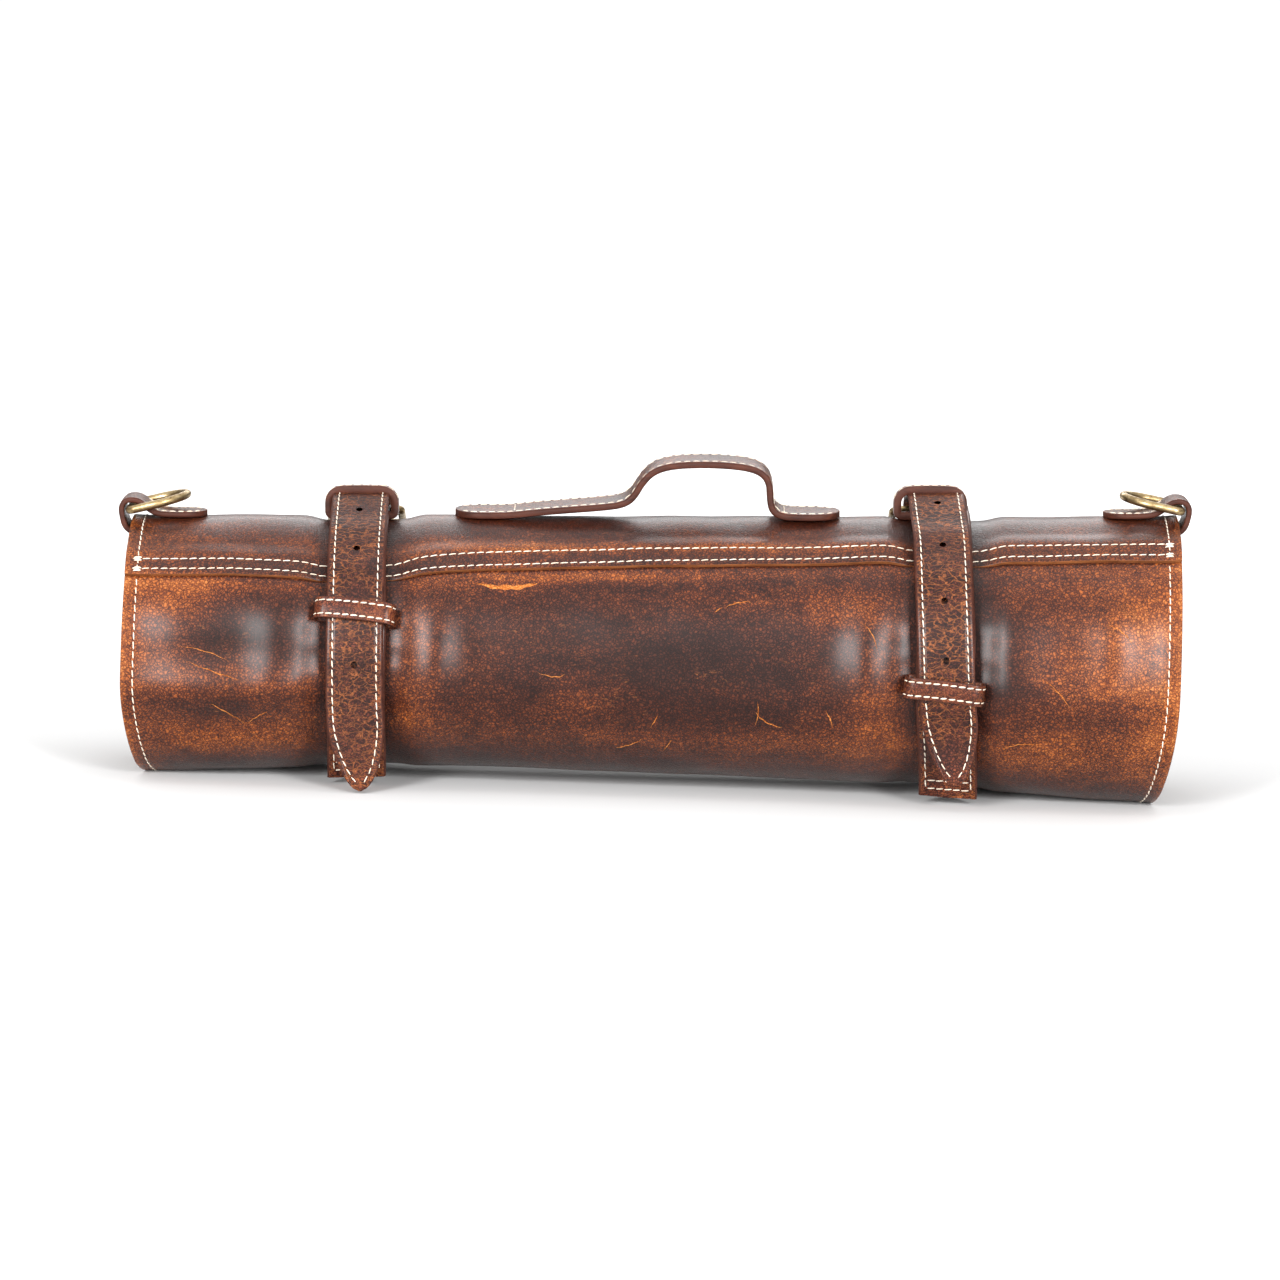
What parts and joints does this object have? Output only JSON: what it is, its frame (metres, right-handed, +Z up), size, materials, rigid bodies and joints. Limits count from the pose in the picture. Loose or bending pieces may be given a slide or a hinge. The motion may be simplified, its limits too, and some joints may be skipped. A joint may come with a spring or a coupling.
{
  "type": "brush roll case",
  "caption": "Leather roll for brushes or tools, rolled up and held by two buckled straps with sliding loops, with a carrying handle on top and a swinging D-ring at each end",
  "frame": {"origin": "bottom centre of the whole object's box, on the surface it stands on", "axes": "+X along the roll, -Y towards the front where the strap tails hang, +Z up"},
  "size_m": [0.4886, 0.1386, 0.1509],
  "materials": {
    "case_leather": "waxed pull-up leather, satin",
    "strap_leather": "waxed leather, satin",
    "keeper_leather": "dark waxed leather, satin",
    "handle_leather": "waxed leather, satin",
    "pocket_leather": "suede side out, matte",
    "lining_cloth": "cotton twill, matte",
    "antique_brass": "antiqued, satin"
  },
  "bodies": {
    "case": {"base_strap_left": "strap_leather", "base_strap_right": "strap_leather", "billet_left": "strap_leather", "billet_right": "strap_leather", "cover_flap": "pocket_leather", "fixed_keeper_left": "keeper_leather", "fixed_keeper_right": "keeper_leather", "handle_end_left": "handle_leather", "handle_end_right": "handle_leather", "lining": "lining_cloth", "pocket_panel": "pocket_leather", "ring_tab_left": "case_leather", "ring_tab_right": "case_leather", "shell_lower_panel": "case_leather", "shell_upper_panel": "case_leather"},
    "buckle_left": {"buckle_frame_left": "antique_brass"},
    "prong_left": {"buckle_prong_left": "antique_brass"},
    "keeper_left": {"sliding_keeper_left": "keeper_leather"},
    "tail_left": {"strap_tail_left": "strap_leather"},
    "ring_left": {"d_ring_left": "antique_brass"},
    "buckle_right": {"buckle_frame_right": "antique_brass"},
    "prong_right": {"buckle_prong_right": "antique_brass"},
    "keeper_right": {"sliding_keeper_right": "keeper_leather"},
    "tail_right": {"strap_tail_right": "strap_leather"},
    "ring_right": {"d_ring_right": "antique_brass"},
    "handle": {"handle_grip": "handle_leather", "handle_leg_left": "handle_leather", "handle_leg_right": "handle_leather"}
  },
  "joints": [
    {"name": "buckle_left_tilt", "type": "hinge", "parent": "case", "child": "buckle_left", "pos_m": [-0.132, 0.02389, 0.11866], "axis": [0.9995, -0.003, 0.0306], "range_deg": [0, 4]},
    {"name": "prong_left_lift", "type": "hinge", "parent": "buckle_left", "child": "prong_left", "pos_m": [-0.132, 0.02389, 0.11866], "axis": [0.9995, -0.003, 0.0306], "range_deg": [0, 5]},
    {"name": "keeper_left_slide", "type": "hinge", "parent": "case", "child": "keeper_left", "pos_m": [-0.132, 0.00564, 0.05896], "axis": [0.9992, 0, 0.0404], "range_deg": [-48, 14]},
    {"name": "tail_left_lift", "type": "hinge", "parent": "case", "child": "tail_left", "pos_m": [-0.132, -0.06139, 0.05896], "axis": [-0.9991, -0.0103, -0.0404], "range_deg": [0, 35], "stiffness_Nm_per_rad": 0.03},
    {"name": "ring_left_swing", "type": "hinge", "parent": "case", "child": "ring_left", "pos_m": [-0.2385, 0.00564, 0.11829], "axis": [0, -1, 0], "range_deg": [-9, 200]},
    {"name": "buckle_right_tilt", "type": "hinge", "parent": "case", "child": "buckle_right", "pos_m": [0.132, 0.02521, 0.12633], "axis": [0.9994, 0.0113, 0.0312], "range_deg": [0, 4]},
    {"name": "prong_right_lift", "type": "hinge", "parent": "buckle_right", "child": "prong_right", "pos_m": [0.132, 0.02521, 0.12633], "axis": [0.9994, 0.0113, 0.0312], "range_deg": [0, 5]},
    {"name": "keeper_right_slide", "type": "hinge", "parent": "case", "child": "keeper_right", "pos_m": [0.132, 0.00564, 0.06233], "axis": [1, 0, -0.0058], "range_deg": [-68, 1.5]},
    {"name": "tail_right_lift", "type": "hinge", "parent": "case", "child": "tail_right", "pos_m": [0.132, -0.06405, 0.04624], "axis": [-0.9992, 0.0377, 0.0145], "range_deg": [0, 35], "stiffness_Nm_per_rad": 0.03},
    {"name": "ring_right_swing", "type": "hinge", "parent": "case", "child": "ring_right", "pos_m": [0.2385, 0.00564, 0.13299], "axis": [0, 1, 0], "range_deg": [-7, 200]},
    {"name": "handle_tilt", "type": "hinge", "parent": "case", "child": "handle", "pos_m": [0, 0.00564, 0.12348], "axis": [0.9996, 0, 0.0292], "range_deg": [-25, 25], "stiffness_Nm_per_rad": 0.05, "deforming": ["handle_leg_left", "handle_leg_right"]}
  ]
}
